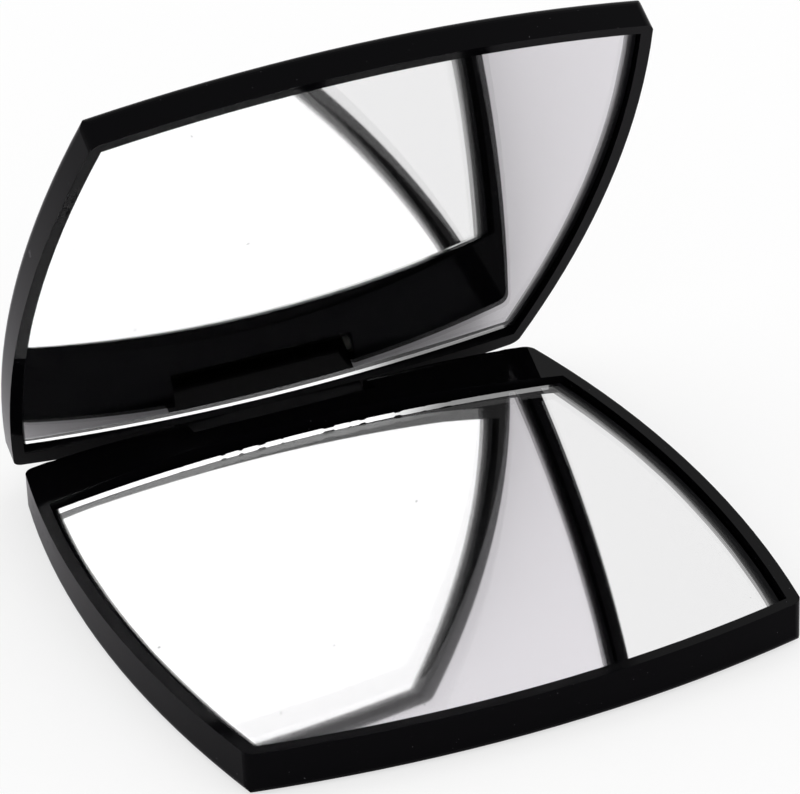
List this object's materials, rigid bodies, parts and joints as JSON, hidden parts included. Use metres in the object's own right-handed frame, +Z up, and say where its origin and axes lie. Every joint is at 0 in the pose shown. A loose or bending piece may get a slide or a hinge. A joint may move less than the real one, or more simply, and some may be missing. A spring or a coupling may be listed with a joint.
{
  "type": "compact_mirror",
  "caption": "Folding compact mirror: gloss black case with bowed square halves, a mirror set in each, and a lid that turns on one wide hinge knuckle.",
  "frame": {"origin": "centre of the lower half's underside, where it rests on a table", "axes": "+Z up, front edge toward -Y, hinge along X at the rear"},
  "size_m": [0.0804, 0.0878, 0.0719],
  "materials": {
    "case_black": "gloss moulded black plastic",
    "mirror_glass": "silvered flat glass with ground edge",
    "adhesive_pad": "double-sided foam pad",
    "magnet_steel": "nickel-plated disc magnet",
    "pin_steel": "ground steel",
    "bush_plastic": "natural acetal"
  },
  "bodies": {
    "base": {"base_cover": "case_black", "base_frame": "case_black", "base_mirror": "mirror_glass", "base_mirror_pad": "adhesive_pad", "base_magnets": "magnet_steel", "hinge_bushes": "bush_plastic"},
    "lid": {"lid_cover": "case_black", "lid_frame": "case_black", "lid_mirror": "mirror_glass", "lid_mirror_pad": "adhesive_pad", "lid_magnets": "magnet_steel", "hinge_pin": "pin_steel"}
  },
  "joints": [
    {"name": "lid_hinge", "type": "hinge", "parent": "base", "child": "lid", "pos_m": [0, 0.03791, 0.00137], "axis": [-1, 0, 0], "range_deg": [-56.8, 53.2]}
  ]
}
